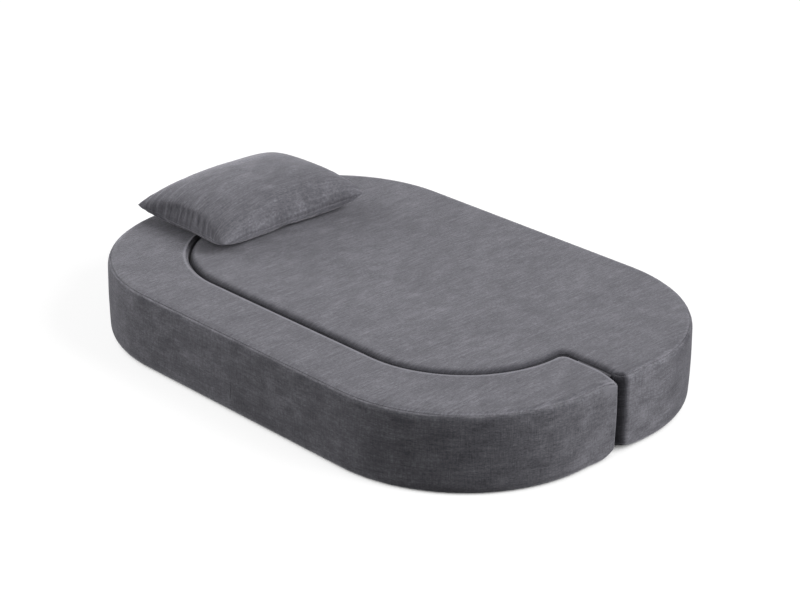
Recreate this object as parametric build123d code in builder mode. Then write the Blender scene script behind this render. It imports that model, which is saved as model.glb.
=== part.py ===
# Folding sofa bed, lying open as a bed, in millimetres.
# A foam seat block with a rounded tongue lies inside a curved foam bolster. The bolster runs along
# the front and round both ends. Fabric strips join its two ends to the seat, at the level of the
# top, so the bolster turns over half a turn and lies on the back of the seat as arms and backrest.
# X runs along the bed, Y from the front to the back, Z up. The origin is on the floor, mid bed.

import math
import os

from build123d import *

# Overall sizes of the open bed, and the straight stretch at each end between its round corners
bed_length = 1800
bed_width = 1230
bed_height = 245
outer_straight = 278

# Bolster, the straight stretch at each end of its inner side, and the gaps round it
bolster_width = 210
inner_straight = 110
groove = 8
cut_gap = 10
hinge_lift = 1

# Soft edges of the blocks: along the top, along the floor, standing corners and the inner nooks
top_round = 18
floor_round = 26
standing_round = 40
nook_round = 15

# Covers and foam layers
fabric = 2
ease = 0.3
topper_thickness = 45
front_seam_off_centre = 20

# Folded fabric hinge strips
strip_length = 120
strip_thickness = 1.5
strip_slack = 3.9

# Zip fasteners in the covers
seat_zip_margin = 34
bolster_zip_angle = 40
bolster_zip_start = 2
zip_height = 42
tape_width = 30
tape_thickness = 1
chain_width = 6
chain_depth = 2.2
stop_length = 5
stop_depth = 3
slot_width = 10

# Zip slider and its pull
slider_length = 15
slider_nose = 8.2
slider_tail = 9.2
wing_thickness = 1.5
flange_wall = 0.9
bridge_length = 9
bridge_width = 2.4
bridge_bar = 1.2
bridge_rise = 3.2
crossbar_radius = 0.7
crossbar_length = 6.4
pull_arm_width = 1.5
pull_length = 30
pull_width = 8
pull_thickness = 1.3
pull_neck = 6.5
pull_eye = 1.8
slider_round = 1.2

# Pillow, with its seam line above the bed and its sides drawn in between the corners
pillow_length = 594
pillow_width = 426
pillow_crown = 93
pillow_belly = 56
pillow_from_end = 232
pillow_off_centre = 22
pillow_turn = 0.5
pillow_seam_wedge = 5

# Pillow slices from the seam to the crown: height, inset, drawn side and corner radius. The height
# is a share of the crown or belly, the inset a share of half the width, the rest shares of that too.
slice_shares = [
    (0.00, 0.000, 0.078, 0.06),
    (0.28, 0.085, 0.045, 0.12),
    (0.57, 0.240, -0.020, 0.22),
    (0.80, 0.440, -0.070, 0.26),
    (0.94, 0.660, -0.090, 0.20),
    (1.00, 0.860, -0.040, 0.10),
]

# Worked out from the sizes above
overrun = bed_height
on_the_line = 0.1
cut_face = cut_gap / 2
tongue_half_length = bed_length / 2 - bolster_width - groove
tongue_half_width = bed_width / 2 - bolster_width - groove
well_half_length = bed_length / 2 - bolster_width
well_half_width = bed_width / 2 - bolster_width
outer_corner = (bed_width - outer_straight) / 2
inner_corner = well_half_width - inner_straight / 2
seat_zip_length = bed_length - 2 * (outer_corner + seat_zip_margin)
half_of_right = 45
seam_inset = top_round * (1 - math.cos(math.radians(half_of_right)))
top_seam = bed_height - seam_inset
floor_seam = floor_round * (1 - math.cos(math.radians(half_of_right)))
core_inset = fabric + ease
hinge_height = bed_height + hinge_lift

os.makedirs("parts", exist_ok=True)


def finish(piece, label):
    """Name a finished piece and write its file."""
    piece.part.label = label
    export_step(piece.part, "parts/" + label + ".step")


# Plans of the two blocks, drawn inwards by an inset for the foam


def cut_corners(plan, line_y):
    """The plan's corners on the line of the cut, from left to right."""
    on_line = plan.vertices().filter_by(lambda v: abs(v.Y - line_y) < on_the_line)
    return on_line.sort_by(Axis.X)


def seat_plan(inset):
    line_y = cut_face + inset
    with BuildSketch() as plan:
        RectangleRounded(bed_length - 2 * inset, bed_width - 2 * inset, outer_corner - inset)
        with Locations((0, line_y)):
            Rectangle(bed_length, bed_width, align=(Align.CENTER, Align.MAX), mode=Mode.SUBTRACT)
        RectangleRounded(
            2 * (tongue_half_length - inset),
            2 * (tongue_half_width - inset),
            inner_corner - groove - inset,
        )
        nooks = cut_corners(plan, line_y)[1:-1]
        fillet(nooks, radius=nook_round + inset)
        ends = cut_corners(plan, line_y)
        fillet([ends[0], ends[-1]], radius=standing_round - inset)
    return plan.sketch


def bolster_plan(inset):
    line_y = -cut_face - inset
    with BuildSketch() as plan:
        RectangleRounded(bed_length - 2 * inset, bed_width - 2 * inset, outer_corner - inset)
        RectangleRounded(
            2 * (well_half_length + inset),
            2 * (well_half_width + inset),
            inner_corner + inset,
            mode=Mode.SUBTRACT,
        )
        with Locations((0, line_y)):
            Rectangle(bed_length, bed_width, align=(Align.CENTER, Align.MIN), mode=Mode.SUBTRACT)
        fillet(cut_corners(plan, line_y), radius=standing_round - inset)
    return plan.sketch


def soft_block(plan, inset):
    """The plan raised to a block between floor and top, with its upper and lower edges rounded."""
    with BuildPart() as block:
        with BuildSketch(Plane.XY.offset(inset)):
            add(plan)
        extrude(amount=bed_height - 2 * inset)
        fillet(block.faces().sort_by(Axis.Z)[-1].edges(), radius=top_round - inset)
        fillet(block.faces().sort_by(Axis.Z)[0].edges(), radius=floor_round - inset)
    return block.part


def hollow(envelope, cavity):
    """The skin between a block and the smaller block inside it."""
    with BuildPart() as shell:
        add(envelope)
        add(cavity, mode=Mode.SUBTRACT)
    return shell.part


def wall_band(shell):
    """The standing wall of a cover, between the seam at the top and the seam at the floor."""
    with BuildPart() as band:
        add(shell)
        split(bisect_by=Plane.XY.offset(floor_seam), keep=Keep.TOP)
        split(bisect_by=Plane.XY.offset(top_seam), keep=Keep.BOTTOM)
    return band.part


# Zip fasteners. A strip is a piece of the fastener in plan, from one depth in the wall to another.
# Depth 0 is the face of the cover and a negative depth lies inside it.

tape_back = -core_inset - tape_thickness
tape_front = -core_inset
chain_front = tape_front + chain_depth
stop_front = tape_front + stop_depth
bolster_arc_x = -(bed_length / 2 - outer_corner)
bolster_arc_y = -(bed_width / 2 - outer_corner)


def straight_strip(depth_from, depth_to, start, length, width):
    """A strip on the straight back wall of the seat, start counted from the left end of the zip."""
    with BuildPart() as strip:
        with BuildSketch(Plane.XY.offset(zip_height - width / 2)):
            with Locations((start - seat_zip_length / 2, bed_width / 2 + depth_from)):
                Rectangle(length, depth_to - depth_from, align=(Align.MIN, Align.MIN))
        extrude(amount=width)
    return strip


def curved_strip(depth_from, depth_to, start, sweep, width):
    """A strip round the bolster's left corner, start and sweep in degrees past the left end."""
    first = 180 + bolster_zip_start + start
    with BuildPart() as strip:
        with BuildSketch(Plane.XY.offset(zip_height - width / 2)):
            with BuildLine():
                inside = CenterArc(
                    (bolster_arc_x, bolster_arc_y), outer_corner + depth_from, first, sweep
                )
                outside = CenterArc(
                    (bolster_arc_x, bolster_arc_y), outer_corner + depth_to, first, sweep
                )
                Line(inside @ 0, outside @ 0)
                Line(inside @ 1, outside @ 1)
            make_face()
        extrude(amount=width)
    return strip


def degrees_of(length):
    """The sweep at the bolster's corner that spans a length along its face."""
    return math.degrees(length / outer_corner)


def zip_slider(wall):
    """The slider on a plane whose X runs along the zip and whose Z points out of the wall."""
    wing_back = chain_front + ease
    wing_front = wing_back + wing_thickness
    chain_side = chain_width / 2 + ease
    with BuildPart() as slider:
        with BuildSketch(wall.offset(tape_front + ease)):
            with BuildLine():
                Polyline(
                    (-slider_length / 2, -slider_tail / 2),
                    (slider_length / 2, -slider_nose / 2),
                    (slider_length / 2, slider_nose / 2),
                    (-slider_length / 2, slider_tail / 2),
                    close=True,
                )
            make_face()
            fillet(vertices(), radius=slider_round)
        extrude(amount=wing_front - tape_front - ease)
        with BuildSketch(wall.offset(tape_front)):
            Rectangle(2 * slider_length, 2 * chain_side)
        extrude(amount=wing_back - tape_front, mode=Mode.SUBTRACT)
        with BuildSketch(wall.offset(wing_front)):
            Rectangle(bridge_length, bridge_width)
        extrude(amount=bridge_rise)
        with BuildSketch(wall.offset(wing_front)):
            Rectangle(bridge_length - 2 * bridge_bar, 2 * bridge_width)
        extrude(amount=bridge_rise - bridge_bar, mode=Mode.SUBTRACT)
    return slider


def pull_axis_depth():
    """How far in front of the cover's face the pull's crossbar lies, midway under the bridge."""
    return chain_front + ease + wing_thickness + (bridge_rise - bridge_bar) / 2


def zip_pull(wall):
    """The pull: a crossbar under the bridge, two arms beside it, and a rounded plate with an eye."""
    axis_plane = wall.offset(pull_axis_depth() - pull_thickness / 2)
    arm_centre = (crossbar_length - pull_arm_width) / 2
    with BuildPart() as pull:
        with BuildSketch(axis_plane):
            for side in (-1, 1):
                with Locations((0, side * arm_centre)):
                    Rectangle(pull_neck, pull_arm_width, align=(Align.MAX, Align.CENTER))
            with Locations((-pull_neck, 0)):
                Rectangle(pull_length - pull_neck, pull_width, align=(Align.MAX, Align.CENTER))
            fillet(vertices().group_by(Axis.X)[0], radius=pull_width / 2 - ease)
            with Locations((pull_width / 2 - pull_length, 0)):
                Circle(pull_eye, mode=Mode.SUBTRACT)
        extrude(amount=pull_thickness)
        bar_plane = Plane(
            origin=wall.from_local_coords((0, -crossbar_length / 2, pull_axis_depth())),
            x_dir=wall.x_dir,
            z_dir=wall.y_dir,
        )
        with BuildSketch(bar_plane):
            Circle(crossbar_radius)
        extrude(amount=crossbar_length)
    return pull


# Seat block

seat_envelope = soft_block(seat_plan(0), 0)
seat_cavity = soft_block(seat_plan(fabric), fabric)
seat_foam = soft_block(seat_plan(core_inset), core_inset)
seat_shell = hollow(seat_envelope, seat_cavity)
seat_wall = wall_band(seat_shell)
topper_line = bed_height - core_inset - topper_thickness

# The tape lies in a shallow pocket of the foam, and the chain shows through a slot in the wall
seat_pocket = straight_strip(
    tape_back - ease, overrun, -ease, seat_zip_length + 2 * ease, tape_width + 2 * ease
)
seat_slot = straight_strip(-overrun, overrun, 0, seat_zip_length, slot_width)

with BuildPart() as seat_foam_base:
    add(seat_foam)
    split(bisect_by=Plane.XY.offset(topper_line - ease), keep=Keep.BOTTOM)
    add(seat_pocket.part, mode=Mode.SUBTRACT)
finish(seat_foam_base, "seat_foam_base")

with BuildPart() as seat_foam_topper:
    add(seat_foam)
    split(bisect_by=Plane.XY.offset(topper_line), keep=Keep.TOP)
finish(seat_foam_topper, "seat_foam_topper")

with BuildPart() as seat_top_panel:
    add(seat_shell)
    split(bisect_by=Plane.XY.offset(top_seam), keep=Keep.TOP)
finish(seat_top_panel, "seat_top_panel")

with BuildPart() as seat_base_panel:
    add(seat_shell)
    split(bisect_by=Plane.XY.offset(floor_seam), keep=Keep.BOTTOM)
finish(seat_base_panel, "seat_base_panel")

# The wall of the seat is sewn from a back band, which ends inside the two cuts, a flat panel along
# each cut and a tongue band
band_line = cut_face + standing_round
cut_panel_end = bed_length / 2 - standing_round
tongue_edge = tongue_half_length + nook_round
with BuildPart() as front_zone:
    with Locations((0, band_line, 0)):
        Box(
            2 * cut_panel_end,
            bed_width,
            bed_height,
            align=(Align.CENTER, Align.MAX, Align.MIN),
        )

with BuildPart() as seat_back_band:
    add(seat_wall)
    add(front_zone.part, mode=Mode.SUBTRACT)
    add(seat_slot.part, mode=Mode.SUBTRACT)
finish(seat_back_band, "seat_back_band")

with BuildPart() as seat_tongue_band:
    add(seat_wall)
    split(bisect_by=Plane.XZ.offset(-band_line), keep=Keep.TOP)
    split(bisect_by=Plane.YZ.offset(-tongue_edge), keep=Keep.TOP)
    split(bisect_by=Plane.YZ.offset(tongue_edge), keep=Keep.BOTTOM)
finish(seat_tongue_band, "seat_tongue_band")

for side, name in ((-1, "left"), (1, "right")):
    with BuildPart() as seat_cut_panel:
        add(seat_wall)
        add(front_zone.part, mode=Mode.INTERSECT)
        split(
            bisect_by=Plane.YZ.offset(side * tongue_edge),
            keep=Keep.BOTTOM if side < 0 else Keep.TOP,
        )
    finish(seat_cut_panel, "seat_cut_panel_" + name)

# Seat zip, along the straight stretch of the back wall near the floor

seat_zip_tape = straight_strip(tape_back, tape_front, 0, seat_zip_length, tape_width)
finish(seat_zip_tape, "seat_zip_tape")
seat_zip_chain = straight_strip(
    tape_front, chain_front, stop_length, seat_zip_length - 2 * stop_length, chain_width
)
finish(seat_zip_chain, "seat_zip_chain")
for start, name in ((0, "left"), (seat_zip_length - stop_length, "right")):
    seat_zip_stop = straight_strip(tape_front, stop_front, start, stop_length, chain_width)
    finish(seat_zip_stop, "seat_zip_stop_" + name)

seat_slider_x = -(seat_zip_length / 2 - stop_length - ease - slider_length / 2)
seat_zip_plane = Plane(
    origin=(seat_slider_x, bed_width / 2, zip_height), x_dir=(1, 0, 0), z_dir=(0, 1, 0)
)
seat_zip_slider = zip_slider(seat_zip_plane)
finish(seat_zip_slider, "seat_zip_slider")
seat_zip_pull = zip_pull(seat_zip_plane)
finish(seat_zip_pull, "seat_zip_pull")

# Bolster

bolster_envelope = soft_block(bolster_plan(0), 0)
bolster_cavity = soft_block(bolster_plan(fabric), fabric)
bolster_foam = soft_block(bolster_plan(core_inset), core_inset)
bolster_shell = hollow(bolster_envelope, bolster_cavity)
bolster_wall = wall_band(bolster_shell)

bolster_pocket = curved_strip(
    tape_back - ease,
    outer_corner,
    -degrees_of(ease),
    bolster_zip_angle + 2 * degrees_of(ease),
    tape_width + 2 * ease,
)
bolster_slot = curved_strip(-bolster_width / 2, outer_corner, 0, bolster_zip_angle, slot_width)

with BuildPart() as bolster_foam_core:
    add(bolster_foam)
    add(bolster_pocket.part, mode=Mode.SUBTRACT)
finish(bolster_foam_core, "bolster_foam_core")

with BuildPart() as bolster_top_panel:
    add(bolster_shell)
    split(bisect_by=Plane.XY.offset(top_seam), keep=Keep.TOP)
finish(bolster_top_panel, "bolster_top_panel")

with BuildPart() as bolster_base_panel:
    add(bolster_shell)
    split(bisect_by=Plane.XY.offset(floor_seam), keep=Keep.BOTTOM)
finish(bolster_base_panel, "bolster_base_panel")

# The wall of the bolster is sewn from two outer bands, which meet near the middle of the front,
# an inner band and a panel at each end
end_width = bolster_width - 2 * standing_round
end_centre = bed_length / 2 - bolster_width / 2
middle_inset = bolster_width / 2
with BuildPart() as inner_half:
    with BuildSketch():
        RectangleRounded(
            bed_length - 2 * middle_inset,
            bed_width - 2 * middle_inset,
            (outer_corner + inner_corner) / 2,
        )
    extrude(amount=bed_height)
end_zones = []
for side in (-1, 1):
    with BuildPart() as end_zone:
        with Locations((side * end_centre, -cut_face, bed_height / 2)):
            Box(end_width, 2 * (fabric + ease), bed_height)
    end_zones.append(end_zone.part)

with BuildPart() as bolster_outer_wall:
    add(bolster_wall)
    add(end_zones, mode=Mode.SUBTRACT)
    add(inner_half.part, mode=Mode.SUBTRACT)
    add(bolster_slot.part, mode=Mode.SUBTRACT)

for kept, name in ((Keep.BOTTOM, "left"), (Keep.TOP, "right")):
    with BuildPart() as bolster_outer_band:
        add(bolster_outer_wall.part)
        split(bisect_by=Plane.YZ.offset(-front_seam_off_centre), keep=kept)
    finish(bolster_outer_band, "bolster_outer_band_" + name)

with BuildPart() as bolster_inner_band:
    add(bolster_wall)
    add(end_zones, mode=Mode.SUBTRACT)
    add(inner_half.part, mode=Mode.INTERSECT)
finish(bolster_inner_band, "bolster_inner_band")

for zone, name in zip(end_zones, ("left", "right")):
    with BuildPart() as bolster_end_panel:
        add(bolster_wall)
        add(zone, mode=Mode.INTERSECT)
    finish(bolster_end_panel, "bolster_end_panel_" + name)

# Bolster zip, round the hidden left corner near the floor
stop_sweep = degrees_of(stop_length)

bolster_zip_tape = curved_strip(tape_back, tape_front, 0, bolster_zip_angle, tape_width)
finish(bolster_zip_tape, "bolster_zip_tape")
bolster_zip_chain = curved_strip(
    tape_front, chain_front, stop_sweep, bolster_zip_angle - 2 * stop_sweep, chain_width
)
finish(bolster_zip_chain, "bolster_zip_chain")
for start, name in ((0, "start"), (bolster_zip_angle - stop_sweep, "end")):
    bolster_zip_stop = curved_strip(tape_front, stop_front, start, stop_sweep, chain_width)
    finish(bolster_zip_stop, "bolster_zip_stop_" + name)

slider_bearing = math.radians(
    180 + bolster_zip_start + stop_sweep + degrees_of(slider_length / 2 + ease)
)
bolster_zip_plane = Plane(
    origin=(
        bolster_arc_x + outer_corner * math.cos(slider_bearing),
        bolster_arc_y + outer_corner * math.sin(slider_bearing),
        zip_height,
    ),
    x_dir=(-math.sin(slider_bearing), math.cos(slider_bearing), 0),
    z_dir=(math.cos(slider_bearing), math.sin(slider_bearing), 0),
)
bolster_zip_slider = zip_slider(bolster_zip_plane)
finish(bolster_zip_slider, "bolster_zip_slider")
bolster_zip_pull = zip_pull(bolster_zip_plane)
finish(bolster_zip_pull, "bolster_zip_pull")

# Hinge strips: folded fabric that hangs in a shallow loop between the seams at each cut

strip_half = cut_face + seam_inset - ease
for side, name in ((-1, "left"), (1, "right")):
    with BuildPart() as hinge_strip:
        with BuildSketch(
            Plane(
                origin=(side * end_centre - strip_length / 2, 0, 0), x_dir=(0, 1, 0), z_dir=(1, 0, 0)
            )
        ):
            with BuildLine():
                upper = ThreePointArc(
                    (-strip_half, top_seam + strip_thickness),
                    (0, top_seam + strip_thickness - strip_slack),
                    (strip_half, top_seam + strip_thickness),
                )
                lower = ThreePointArc(
                    (-strip_half, top_seam), (0, top_seam - strip_slack), (strip_half, top_seam)
                )
                Line(upper @ 0, lower @ 0)
                Line(upper @ 1, lower @ 1)
            make_face()
        extrude(amount=strip_length)
    finish(hinge_strip, "hinge_strip_" + name)

# Pillow: the slices are lofted from the seam up to the crown and down to the belly


def pillow_slice(half_width, half_length, draw, corner):
    """A four-sided outline whose sides bend in by draw, or out where draw is negative."""
    with BuildSketch(Plane.XY) as outline:
        with BuildLine():
            ThreePointArc(
                (-half_width, -half_length), (0, draw - half_length), (half_width, -half_length)
            )
            ThreePointArc(
                (half_width, -half_length), (half_width - draw, 0), (half_width, half_length)
            )
            ThreePointArc(
                (half_width, half_length), (0, half_length - draw), (-half_width, half_length)
            )
            ThreePointArc(
                (-half_width, half_length), (draw - half_width, 0), (-half_width, -half_length)
            )
        make_face()
        fillet(outline.vertices(), radius=corner)
    return outline.sketch


def pillow_half(rise, shrink):
    """The half of the pillow on one side of its seam, where rise is negative for the belly."""
    half_width = pillow_width / 2 - shrink
    half_length = pillow_length / 2 - shrink
    with BuildPart() as half:
        for height_share, inset_share, draw_share, corner_share in slice_shares:
            inset = inset_share * half_width
            outline = pillow_slice(
                half_width - inset,
                half_length - inset,
                draw_share * half_width,
                corner_share * half_width,
            )
            with BuildSketch(pillow_plane.offset(height_share * rise)):
                add(outline)
        loft()
    return half.part


pillow_seam = bed_height + ease + pillow_belly
pillow_plane = Plane(
    origin=(pillow_from_end - bed_length / 2, pillow_off_centre, pillow_seam),
    x_dir=(math.cos(math.radians(pillow_turn)), math.sin(math.radians(pillow_turn)), 0),
    z_dir=(0, 0, 1),
)

for name, rise in (("top", pillow_crown), ("bottom", -pillow_belly)):
    skin = pillow_half(rise, 0)
    hollow_rise = rise - math.copysign(fabric, rise)
    inside = pillow_half(hollow_rise, pillow_seam_wedge)
    with BuildPart() as pillow_panel:
        add(skin)
        add(inside, mode=Mode.SUBTRACT)
    finish(pillow_panel, "pillow_" + name + "_panel")

upper_fill = pillow_half(pillow_crown - core_inset, pillow_seam_wedge + ease)
lower_fill = pillow_half(core_inset - pillow_belly, pillow_seam_wedge + ease)
with BuildPart() as pillow_fill:
    add(upper_fill)
    add(lower_fill)
finish(pillow_fill, "pillow_fill")

print("hinge axis height", hinge_height)
print("seat slider at x", seat_slider_x, "travel", -2 * seat_slider_x)
print("bolster slider bearing", math.degrees(slider_bearing))
print("pull axis depth", pull_axis_depth())
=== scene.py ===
import math

import bpy
import numpy as np
from mathutils import Matrix, Vector, noise
from mathutils.geometry import delaunay_2d_cdt


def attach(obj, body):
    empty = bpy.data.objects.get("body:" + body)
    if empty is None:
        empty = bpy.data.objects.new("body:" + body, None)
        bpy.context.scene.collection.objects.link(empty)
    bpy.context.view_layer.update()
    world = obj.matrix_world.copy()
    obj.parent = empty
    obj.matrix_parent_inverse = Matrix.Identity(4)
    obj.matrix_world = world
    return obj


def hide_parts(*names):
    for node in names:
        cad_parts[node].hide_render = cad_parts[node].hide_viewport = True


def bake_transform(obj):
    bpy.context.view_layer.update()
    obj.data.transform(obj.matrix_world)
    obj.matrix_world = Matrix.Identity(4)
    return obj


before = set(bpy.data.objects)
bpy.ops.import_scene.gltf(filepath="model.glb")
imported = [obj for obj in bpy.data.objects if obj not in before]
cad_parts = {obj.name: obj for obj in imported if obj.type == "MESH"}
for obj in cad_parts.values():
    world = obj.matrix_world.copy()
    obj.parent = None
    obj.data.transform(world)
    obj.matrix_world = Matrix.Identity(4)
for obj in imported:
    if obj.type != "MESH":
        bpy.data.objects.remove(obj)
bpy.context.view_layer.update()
scene = bpy.context.scene

# camera and light
camera = {
    "yaw": 45.553,
    "pitch": 24.499,
    "roll": 0.580,
    "distance": 6.553,
    "right": 0.0266,
    "up": 0.1607,
    "lens": 97.09,
    "sensor": 36.0,
    "farthest": 60,
}
white = (1, 1, 1, 1)


def addObject(name, data):
    obj = bpy.data.objects.new(name, data)
    scene.collection.objects.link(obj)
    return obj


def setInputs(node, values):
    for key, value in values.items():
        node.inputs[key].default_value = value


def makeCamera(c):
    yaw, pitch, roll = (math.radians(c[k]) for k in ("yaw", "pitch", "roll"))
    level = math.cos(pitch)
    back = Vector((math.sin(yaw) * level, -math.cos(yaw) * level, math.sin(pitch)))
    right = Vector((math.cos(yaw), math.sin(yaw), 0))
    up = back.cross(right)
    right, up = (
        right * math.cos(roll) + up * math.sin(roll),
        up * math.cos(roll) - right * math.sin(roll),
    )
    spot = back * c["distance"] + right * c["right"] + up * c["up"]
    data = bpy.data.cameras.new("viewpoint")
    data.lens = c["lens"]
    data.sensor_width = c["sensor"]
    data.clip_end = c["farthest"]
    obj = addObject("viewpoint", data)
    turn = Matrix((right, up, back)).transposed().to_4x4()
    obj.matrix_world = Matrix.Translation(spot) @ turn
    scene.camera = obj


light = {
    "room": 0.16,
    "above": {"from": (0.10, 0.45, 1.0), "strength": 0.28, "spread": 70},
    "key": {"from": (0.742, 0.346, 0.575), "strength": 2.58, "spread": 32},
    "fill": {"from": (-0.800, -0.500, 0.289), "strength": 1.80, "spread": 50},
}
floorLook = {
    "reach": 14.0,
    "diffuse": 0.25,
    "glow": 0.86,
    # the floor in the groove stays dark: reach of the cover above it, and where the glow sets in
    "nook": 0.10,
    "nookSamples": 6,
    "open": (0.05, 0.28),
}


def softSun(name, s):
    data = bpy.data.lights.new(name, "SUN")
    data.energy = s["strength"]
    data.angle = math.radians(s["spread"])
    obj = addObject(name, data)
    obj.rotation_euler = Vector(s["from"]).to_track_quat("Z", "Y").to_euler()


def byRay(tree, lit, seen, end):
    # one shader for what the camera and metal see, another for what lights the bed
    path = tree.nodes.new("ShaderNodeLightPath")
    either = tree.nodes.new("ShaderNodeMath")
    either.operation = "MAXIMUM"
    mixed = tree.nodes.new("ShaderNodeMixShader")
    tree.links.new(path.outputs["Is Camera Ray"], either.inputs[0])
    tree.links.new(path.outputs["Is Glossy Ray"], either.inputs[1])
    tree.links.new(either.outputs[0], mixed.inputs["Fac"])
    tree.links.new(lit.outputs[0], mixed.inputs[1])
    tree.links.new(seen.outputs[0], mixed.inputs[2])
    tree.links.new(mixed.outputs[0], end.inputs["Surface"])


def makeRoom(lamps):
    scene.view_settings.view_transform = "Standard"
    scene.world = bpy.data.worlds.new("room")
    scene.world.use_nodes = True
    tree = scene.world.node_tree
    tree.nodes.clear()
    lit, seen = (tree.nodes.new("ShaderNodeBackground") for _ in range(2))
    setInputs(lit, {"Color": white, "Strength": lamps["room"]})
    setInputs(seen, {"Color": white})
    byRay(tree, lit, seen, tree.nodes.new("ShaderNodeOutputWorld"))
    for name in ("above", "key", "fill"):
        softSun(name + "Light", lamps[name])


def makeFloor(f):
    mesh = bpy.data.meshes.new("floor")
    r = f["reach"]
    mesh.from_pydata([(-r, -r, 0), (r, -r, 0), (r, r, 0), (-r, r, 0)], [], [(0, 1, 2, 3)])
    floor = addObject("floor", mesh)
    mat = bpy.data.materials.new("paleFloor")
    mat.use_nodes = True
    nodes, links = mat.node_tree.nodes, mat.node_tree.links
    nodes.clear()
    matte = nodes.new("ShaderNodeBsdfDiffuse")
    setInputs(matte, {"Color": (f["diffuse"],) * 3 + (1,)})
    nook = nodes.new("ShaderNodeAmbientOcclusion")
    nook.samples = f["nookSamples"]
    setInputs(nook, {"Distance": f["nook"]})
    glowing = nodes.new("ShaderNodeMapRange")
    closed, clear = f["open"]
    setInputs(glowing, {"From Min": closed, "From Max": clear, "To Max": f["glow"]})
    shine = nodes.new("ShaderNodeEmission")
    setInputs(shine, {"Color": white})
    both = nodes.new("ShaderNodeAddShader")
    links.new(nook.outputs["AO"], glowing.inputs["Value"])
    links.new(glowing.outputs["Result"], shine.inputs["Strength"])
    links.new(matte.outputs[0], both.inputs[0])
    links.new(shine.outputs[0], both.inputs[1])
    byRay(mat.node_tree, matte, both, nodes.new("ShaderNodeOutputMaterial"))
    mesh.materials.append(mat)


makeCamera(camera)
makeRoom(light)
makeFloor(floorLook)
print("camera and room ready")


# materials
class NodeBench:
    # short hand for building a shader tree
    def __init__(self, name):
        self.mat = bpy.data.materials.new(name)
        self.mat.use_nodes = True
        self.tree = self.mat.node_tree
        self.shader = self.tree.nodes["Principled BSDF"]

    def add(self, kind, **values):
        node = self.tree.nodes.new(kind)
        for key, value in values.items():
            setattr(node, key, value)
        return node

    def join(self, a, b):
        self.tree.links.new(a, b)

    def cloth(self):
        return self.add("ShaderNodeUVMap", uv_map="weave").outputs["UV"]

    def object(self):
        return self.add("ShaderNodeTexCoord").outputs["Object"]

    def flecks(self, source, across, along, detail, rough):
        # noise drawn out along V, sizes in metres
        stretch = self.add("ShaderNodeMapping")
        setInputs(stretch, {"Scale": (1 / across, 1 / along, 1 / across)})
        tex = self.add("ShaderNodeTexNoise")
        setInputs(tex, {"Scale": 1.0, "Detail": detail, "Roughness": rough})
        self.join(source, stretch.inputs["Vector"])
        self.join(stretch.outputs[0], tex.inputs["Vector"])
        return tex.outputs["Fac"]

    def spread(self, value, low, high, toLow=0.0, toHigh=1.0):
        node = self.add("ShaderNodeMapRange")
        setInputs(node, {"From Min": low, "From Max": high, "To Min": toLow, "To Max": toHigh})
        self.join(value, node.inputs["Value"])
        return node.outputs["Result"]

    def calc(self, kind, a, b):
        node = self.add("ShaderNodeMath", operation=kind)
        for i, v in enumerate((a, b)):
            if isinstance(v, (int, float)):
                node.inputs[i].default_value = v
            else:
                self.join(v, node.inputs[i])
        return node.outputs[0]

    def colour(self, value, stops):
        ramp = self.add("ShaderNodeValToRGB")
        elements = ramp.color_ramp.elements
        while len(elements) < len(stops):
            elements.new(0.5)
        for e, (place, colour) in zip(elements, stops):
            e.position = place
            e.color = (*colour, 1)
        self.join(value, ramp.inputs["Fac"])
        self.join(ramp.outputs["Color"], self.shader.inputs["Base Color"])

    def bump(self, height, strength, distance):
        node = self.add("ShaderNodeBump")
        setInputs(node, {"Strength": strength, "Distance": distance})
        self.join(height, node.inputs["Height"])
        self.join(node.outputs["Normal"], self.shader.inputs["Normal"])


clothLayers = ("yarn", "fleck", "slub", "weft", "blotch", "cloud")
toneStops = ((0.0, "deep"), (0.5, "dark"), (0.75, "mid"), (1.0, "light"))
softNoise = (3.0, 0.6)  # detail and roughness
velvet = {
    "deep": (0.026, 0.0255, 0.030),
    "dark": (0.085, 0.0835, 0.096),
    "mid": (0.155, 0.153, 0.171),
    "light": (0.273, 0.269, 0.299),
    # size across, size along, strength
    "yarn": (0.0012, 0.0075, 0.16),
    "fleck": (0.0028, 0.011, 0.28),
    "slub": (0.0060, 0.085, 0.25),
    "weft": (0.014, 0.0018, 0.14),
    "blotch": (0.040, 0.060, 0.16),
    "cloud": (0.18, 0.26, 0.12),
    # how much each layer stands out, then the strength and depth of the whole
    "relief": {"yarn": 0.7, "weft": 0.5, "fleck": 1.1},
    "bump": (0.6, 0.0011),
    "finish": {
        "Roughness": 0.93,
        "Specular IOR Level": 0.15,
        "Sheen Weight": 0.65,
        "Sheen Roughness": 0.35,
        "Sheen Tint": (0.80, 0.79, 0.86, 1),
    },
}
velvetWall = {
    **velvet,
    "fleck": (0.0034, 0.010, 0.30),
    "slub": (0.0075, 0.070, 0.22),
    "weft": (0.034, 0.0030, 0.22),
    "blotch": (0.050, 0.075, 0.28),
}


def coverFabric(name, shade=1.0, v=velvet):
    b = NodeBench(name)
    cloth = b.cloth()
    layers = {k: b.flecks(cloth, *v[k][:2], *softNoise) for k in clothLayers}
    tone = 0.5
    for key, value in layers.items():
        strength = v[key][2]
        tone = b.calc("ADD", b.spread(value, 0.25, 0.75, -strength, strength), tone)
    # painted light and shade: a painted highlight lightens the cloth here, painted shade darkens it
    paintedLight = b.add("ShaderNodeAttribute", attribute_name="paintedLight")
    tone = b.calc("ADD", paintedLight.outputs["Fac"], tone)
    stops = [(place, tuple(c * shade for c in v[k])) for place, k in toneStops]
    b.colour(b.spread(tone, -1, 1), stops)
    setInputs(b.shader, v["finish"])
    relief = 0.0
    for key, share in v["relief"].items():
        relief = b.calc("ADD", relief, b.calc("MULTIPLY", layers[key], share))
    b.bump(relief, *v["bump"])
    return b.mat


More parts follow.
